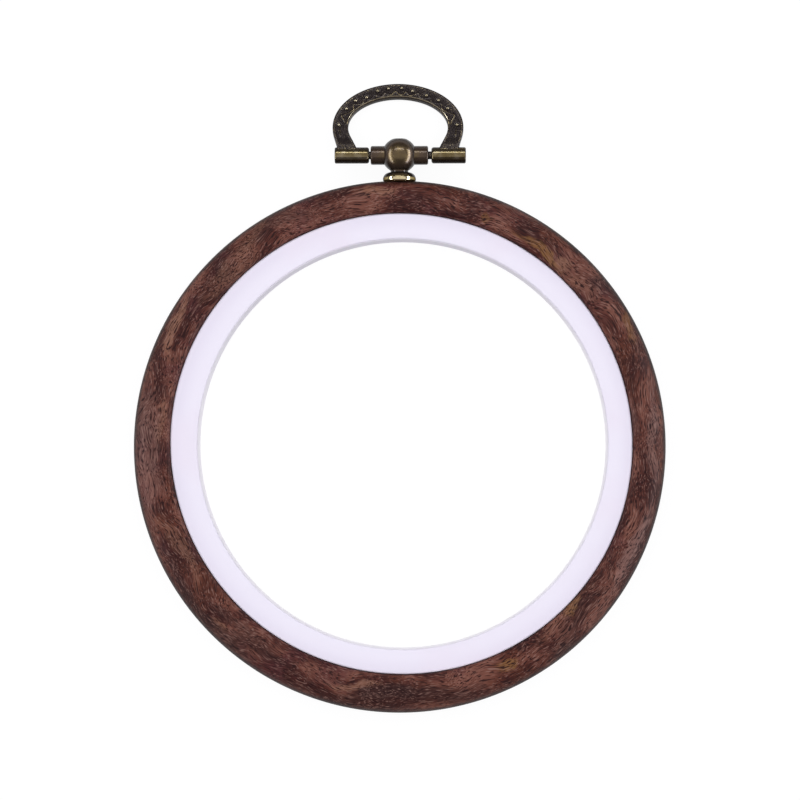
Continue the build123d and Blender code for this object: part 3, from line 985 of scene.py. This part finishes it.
@dataclass
class Bail(Hinged):
    """The cast arch with its two knuckles, its ornament and the pin it swings on.

    Each bead has its angle round the arch in degrees and its inset from the outer edge.
    """

    side_shift: float = 0.15
    arch_aside: float = -0.4
    lean_degrees: float = 19.668
    half_width: float = 11.48
    rise: float = 8.5
    waist: float = 4.95
    band: float = 2.75
    leg_height: float = 3.2
    plate_front: float = 1.25
    plate_back: float = 0.15
    edge_round: float = 0.2
    knuckle_start: float = 5.45
    knuckle_end: float = 11.48
    knuckle_radius: float = 1.42
    knuckle_rounds: Pair = (0.4, 0.25)
    pin_radius: float = 0.7
    pin_end_wall: float = 0.8
    pin_recess: float = 0.5
    pin_round: float = 0.15
    grip_gap: float = 0.01
    overrun: float = 0.5
    border: float = 0.5
    field_sink: float = 0.07
    field_soft: float = 0.1
    field_end: float = 2.2
    field_fade: float = 0.7
    rim_inset: float = 0.3
    rim_width: float = 0.13
    rim_height: float = 0.12
    rim_fade: Pair = (-0.5, 2.0)
    bead_radius: float = 0.29
    bead_height: float = 0.26
    bead_bare: Pair = (0.3, 0.75)
    bead_crest: float = 0.72
    bead_degrees: float = 14.0
    bead_path: Pair = (1.15, 0.75)
    pit_depth: float = 0.04
    pit_width: float = 0.2
    scallop_height: float = 0.06
    scallop_width: float = 0.15
    scallop_crest: float = 0.7
    scallop_foot: float = 0.25
    scallop_rise: Pair = (0.35, 0.03)
    scallop_swell: Pair = (0.35, 5.2)
    line_inset: float = 1.28
    line_lean: float = 0.06
    line_middle: float = 4.6
    line_ends: tuple[Pair, ...] = ((3.1, 3.4), (4.75, 4.55))
    line_crest: float = 0.5
    back_wear: float = 0.3
    front_wear: float = 0.36
    field_dark: float = 0.2
    front_share: float = 0.62
    corner_share: float = 0.1
    stations: int = 420
    section_points: int = 76
    beads: tuple[Pair, ...] = (
        (3.2, 1.14), (30.6, 1.36), (45.8, 1.24), (60.4, 1.38), (75.6, 1.22), (86.3, 0.86),
        (99.5, 0.86), (109.8, 0.98), (123.7, 1.5), (135.9, 1.05), (150.9, 1.1), (176.6, 1.12),
    )

    @property
    def stance(self) -> Matrix:
        """Turn from the bail's own plane to the hoop's frame: across, up the arch, out of its front."""
        lean = Matrix.Rotation(math.radians(-self.lean_degrees), 4, "X")
        side = self.aside + self.side_shift + self.arch_aside
        return Matrix.Translation((side, self.pin_y, self.middle)) @ lean

    @property
    def pin_start(self) -> float:
        """Where on its line the pin starts, in the left knuckle."""
        return self.side_shift - self.knuckle_end + self.pin_end_wall

    def edge_point(self, share: float, inset: float) -> Vector:
        """Give a point on the arch's outline, drawn in from its outer edge.

        Args:
            share: Place along the arch, from 0 at the right foot to 1 at the left one.
            inset: Distance in from the outer edge.

        Returns:
            The point in the bail's own plane.
        """
        width, rise = self.half_width - inset, self.rise - inset
        turn = math.asin((self.leg_height - self.waist) / rise)
        splay = width / rise * math.tan(turn)
        run = self.leg_height * math.hypot(1, splay)
        arch = math.pi - 2 * turn
        arch_length = arch * (self.half_width + self.rise) / 2
        whole = arch_length + 2 * run
        walked = share * whole
        if walked < run or walked > whole - run:
            height = self.leg_height * (walked / run if walked < run else (whole - walked) / run)
            side = 1 if walked < run else -1
            return Vector((side * (width * math.cos(turn) + (self.leg_height - height) * splay), height, 0))
        angle = turn + arch * (walked - run) / arch_length
        return Vector((width * math.cos(angle), self.waist + rise * math.sin(angle), 0))

    def angle_of(self, point: Vector) -> float:
        """Give a point's angle round the arch, in degrees, on the beads' own ellipse."""
        across = point.x / (self.half_width - self.bead_path[0])
        up = (point.y - self.waist) / (self.rise - self.bead_path[1])
        return math.degrees(math.atan2(up, across))

    def relief(self, point: Vector, inset: float) -> Pair:
        """Give the ornament's height and how bare its patina is worn at a point of the front.

        Args:
            point: The point in the bail's own plane.
            inset: Its distance in from the outer edge.

        Returns:
            The height over the plate's front, and how worn it is, from 0 to 1.
        """
        angle, inner = self.angle_of(point), self.band - inset
        in_field = step(inset, self.border, self.field_soft) * step(inner, self.rim_inset, self.field_soft)
        in_field *= step(point.y, self.field_end, self.field_fade)
        rim = ease(1 - abs(inner - self.rim_inset) / self.rim_width, 0, 1)
        rim *= ease(point.y, *(self.waist + past for past in self.rim_fade))
        scallop, line = self._scallop(angle, inner), self._side_line(point)
        height = -self.field_sink * in_field + self.rim_height * rim + self.scallop_height * scallop
        crest = max(rim, self.scallop_crest * scallop, self.line_crest * line)
        for bead_angle, bead_inset in self.beads:
            if abs(angle - bead_angle) > self.bead_degrees:
                continue
            turn = math.radians(bead_angle)
            across = (self.half_width - bead_inset) * math.cos(turn)
            up = self.waist + (self.rise - bead_inset) * math.sin(turn)
            away = (point - Vector((across, up, 0))).length
            if away < self.bead_radius:
                dome = math.sqrt(1 - (away / self.bead_radius) ** 2)
                height = max(height, -self.field_sink + self.bead_height * dome)
                crest = max(crest, self.bead_crest * ease(dome, *self.bead_bare))
            else:
                past_pit = ease(away, self.bead_radius, self.bead_radius + self.pit_width)
                height -= self.pit_depth * (1 - past_pit) * in_field
        base = self.front_wear - self.field_dark * in_field
        return height + self.scallop_height * line, base + (1 - base) * crest

    def _scallop(self, angle: float, inner: float) -> float:
        """Give the share of the scalloped ridge that cradles the beads."""
        swell, waves = self.scallop_swell
        angles = [bead[0] for bead in self.beads]
        for first, second in zip(angles, angles[1:]):
            if first <= angle < second:
                phase = (angle - first) / (second - first)
                deep = self.scallop_rise[0] + self.scallop_rise[1] * (second - first)
                path = self.rim_inset + self.scallop_foot + deep * (1 - abs(math.cos(math.pi * phase)))
                kept = 1 - swell + swell * math.sin(math.radians(angle * waves))
                return kept * ease(1 - abs(inner - path) / self.scallop_width, 0, 1)
        return 0.0

    def _side_line(self, point: Vector) -> float:
        """Give the share of the short line under the last bead of each side."""
        across = self.half_width - self.line_inset + self.line_lean * (point.y - self.line_middle)
        share = ease(1 - abs(abs(point.x) - across) / self.scallop_width, 0, 1)
        for end in self.line_ends:
            share *= ease(point.y, *end)
        return share

    def section(self, share: float) -> Pair:
        """Walk round the arch's cross-section, from its outer edge at the back.

        Args:
            share: Place round the section, from 0 to 1.

        Returns:
            The inset from the outer edge and the height over the plate's back.
        """
        depth, corner = self.plate_front - self.plate_back, self.edge_round
        if share < self.front_share:
            return self._rounded_side(share / self.front_share, depth)
        quarters = 4 * (share - self.front_share) / (1 - self.front_share)
        if quarters < 1:
            return self.band, depth - corner - (depth - 2 * corner) * quarters
        if quarters < 3:
            inset, height = self._rounded_side((quarters - 1) / 2, depth)
            return self.band - inset, depth - height
        return 0.0, corner + (depth - 2 * corner) * (quarters - 3)

    def _rounded_side(self, walk: float, depth: float) -> Pair:
        """Walk over a face and the two round corners beside it."""
        corner, share = self.edge_round, self.corner_share
        from_end = min(walk, 1 - walk)
        if from_end < share:
            turn = from_end / share * math.pi / 2
            inset = corner * (1 - math.cos(turn))
            return inset if walk < share else self.band - inset, depth - corner * (1 - math.sin(turn))
        return corner + (self.band - 2 * corner) * (walk - share) / (1 - 2 * share), depth

    def arch(self) -> Workpiece:
        """Model the arch as a grid that is wrapped along it, with the ornament on its front."""
        arch = Workpiece()
        bmesh.ops.create_grid(arch.mesh, x_segments=self.stations, y_segments=self.section_points, size=0.5)
        wear_and_shade = arch.mesh.verts.layers.float.new(WEAR_AND_SHADE)
        depth = self.plate_front - self.plate_back
        for vertex in arch.mesh.verts:
            along, around = vertex.co.x + 0.5, vertex.co.y + 0.5
            inset, level = self.section(around % 1.0)
            point = self.edge_point(along, inset)
            vertex[wear_and_shade] = self.back_wear
            if level > depth - TINY:
                height, vertex[wear_and_shade] = self.relief(point, inset)
                level += height
            vertex.co = Vector((point.x, point.y, self.plate_back + level))
        rims = [e for e in arch.merged().mesh.edges if e.is_boundary]
        bmesh.ops.holes_fill(arch.mesh, edges=rims, sides=0)
        return arch.transformed(self.stance).outward()

    def casting(self) -> Workpiece:
        """Join the arch and its knuckles, and bore them for the pin."""
        casting = self.arch()
        for side in (-1, 1):
            ends = tuple(self.side_shift + side * end for end in (self.knuckle_start, self.knuckle_end))
            knuckle = Workpiece().bar(self.pin_line, ends, self.knuckle_radius, FINE, self.knuckle_rounds)
            casting.cut(knuckle, Cut.TOGETHER)
        ends = (self.pin_start, self.side_shift + self.knuckle_end + self.overrun)
        bore = Workpiece().bar(self.pin_line, ends, self.pin_radius + self.grip_gap, COARSE)
        casting.cut(bore, Cut.AWAY)
        # The knuckles are worn lighter where they face forward and painted darker, as shade, where they turn
        # away.
        reach = self.knuckle_radius + TINY
        return casting.worn_and_shaded(hidden=0.32, shown=0.66, where=lambda co: self.pin_line.read(co)[0] < reach)

    def pin(self) -> Workpiece:
        """Model the hinge pin."""
        ends = (self.pin_start, self.side_shift + self.knuckle_end - self.pin_recess)
        return Workpiece().bar(self.pin_line, ends, self.pin_radius, COARSE, (self.pin_round,) * 2, 2)

    def build(self) -> None:
        """Make and dress the bail and its pin."""
        cast = AntiqueBrass(Patina.CAST, roughness=0.15, pits_mm=0.015).material()
        # The pin is worn lighter in front and painted darker, as shade, where it turns away.
        pin = self.pin().worn_and_shaded(hidden=0.1, shown=0.4)
        self.casting().finished("cast_bail", cast, "bail", "hanger_bail", "antique_brass")
        pin.finished("hinge_pin_rod", cast, "bail", "hinge_pin", "antique_brass")


@dataclass(frozen=True)
class Softbox:
    """A flat studio light, placed by the direction it is seen in from the hanger.

    It either shows in glossy surfaces or lights matt ones.
    """

    name: str
    towards: Place
    distance: float
    width: float
    height: float
    brightness: float
    tint: Colour = (0.95, 1.0, 1.06)
    gloss: bool = True

    def place(self, target: Vector) -> None:
        """Set up the light, which faces the target."""
        data = bpy.data.lights.new(self.name, "AREA")
        data.shape = "RECTANGLE"
        data.size, data.size_y = self.width, self.height
        data.energy = self.brightness * math.pi * self.width * self.height
        data.color = self.tint
        light = linked(self.name, data)
        direction = Vector(self.towards).normalized()
        light.location = target + direction * self.distance
        light.rotation_mode = "QUATERNION"
        light.rotation_quaternion = direction.to_track_quat("Z", "Y")
        light.visible_camera = False
        light.visible_diffuse = not self.gloss
        light.visible_glossy = self.gloss


@dataclass
class Studio:
    """The pale floor, the soft lights and the camera."""

    target: Place = (0.0, 0.02, 0.0)
    floor_size: float = 8.0
    floor_drop: float = 0.00002
    floor_colour: Colour = (0.92, 0.92, 0.92)
    floor_share: float = 0.9
    floor_bounce: float = 0.7
    floor_glow: float = 1.04
    sky: Colour = (0.17, 0.16, 0.2)
    softboxes: tuple[Softbox, ...] = (
        Softbox("soft_dome", (0.0, 0.1, 1.0), 1.2, 3.0, 2.4, 1.3, (0.98, 0.99, 1.0), gloss=False),
        Softbox("overhead", (0.0, 0.03, 1.0), 1.15, 2.3, 1.25, 0.6, (1.0, 0.97, 0.92)),
        Softbox("left_strip", (-0.9, -0.1, 0.45), 1.0, 1.5, 0.24, 7.0),
        Softbox("right_strip", (0.93, -0.1, 0.36), 1.0, 1.5, 0.3, 9.5),
        Softbox("top_strip", (0.0, 0.64, 0.77), 1.0, 1.0, 0.13, 8.0),
    )
    camera_place: Place = (4.0, -10.0, 548.9107)
    camera_forward: Place = (-0.008211, 0.032493, -1.0)
    camera_lens: float = 140.36
    camera_roll: float = -0.046
    camera_clip: Pair = (0.01, 50.0)

    def build_floor(self) -> None:
        """Lay the floor, which shows white and keeps the hoop's shadow."""
        sheet = Workpiece()
        bmesh.ops.create_grid(sheet.mesh, x_segments=1, y_segments=1, size=self.floor_size / 2)
        floor = sheet.transformed(Matrix.Translation((0, 0, -self.floor_drop))).placed("floor")
        sheet.mesh.free()
        nodes = Nodes("pale_floor")
        seen = nodes.add("ShaderNodeLightPath").outputs
        camera, glossy, passing, diffuse = (
            Number(nodes, seen[f"Is {kind} Ray"]) for kind in ("Camera", "Glossy", "Transmission", "Diffuse")
        )
        white = camera.at_least(glossy).at_least(passing) * self.floor_share
        white = white.at_least(diffuse * self.floor_bounce)
        matt = nodes.add("ShaderNodeBsdfDiffuse", sockets={"Color": self.floor_colour})
        glow = nodes.add("ShaderNodeEmission", sockets={"Color": (1, 1, 1), "Strength": self.floor_glow})
        both = nodes.add("ShaderNodeMixShader", sockets={0: white, 1: matt.outputs[0], 2: glow.outputs[0]})
        nodes.add("ShaderNodeOutputMaterial", sockets={"Surface": both.outputs[0]})
        floor.data.materials.append(nodes.material)

    def build_lights(self) -> None:
        """Hang the softboxes and dim the room."""
        for softbox in self.softboxes:
            softbox.place(Vector(self.target))
        world = bpy.data.worlds.new("room")
        world.use_nodes = True
        world.node_tree.nodes["Background"].inputs["Color"].default_value = (*self.sky, 1.0)
        bpy.context.scene.world = world

    def build_camera(self) -> None:
        """Set the camera over the hoop."""
        data = bpy.data.cameras.new("camera")
        data.lens = self.camera_lens
        data.clip_start, data.clip_end = self.camera_clip
        camera = linked("camera", data)
        back = -Vector(self.camera_forward).normalized()
        right = Vector((0, 1, 0)).cross(back).normalized()
        turn = Matrix((right, back.cross(right), back)).transposed().to_4x4()
        roll = Matrix.Rotation(math.radians(self.camera_roll), 4, "Z")
        camera.matrix_world = Matrix.Translation(Vector(self.camera_place) * METRES) @ turn @ roll
        bpy.context.scene.camera = camera

    def build(self) -> None:
        """Set up the whole studio."""
        self.build_floor()
        self.build_lights()
        self.build_camera()
        bpy.context.scene.view_settings.view_transform = "Standard"


def corners(box: tuple[Vector, Vector]) -> list[list[float]]:
    """Give a box as plain lists of numbers."""
    return [list(corner) for corner in box]


def main() -> None:
    """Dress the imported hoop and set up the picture."""
    logging.basicConfig(level=logging.INFO, format="%(name)s: %(message)s")
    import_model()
    hanger = Hanger()
    Hoops().build(hanger.ring_socket())
    hanger.build()
    Bail().build()
    Studio().build()
    LOG.info("all pieces are in place")


if __name__ == "__main__":
    main()
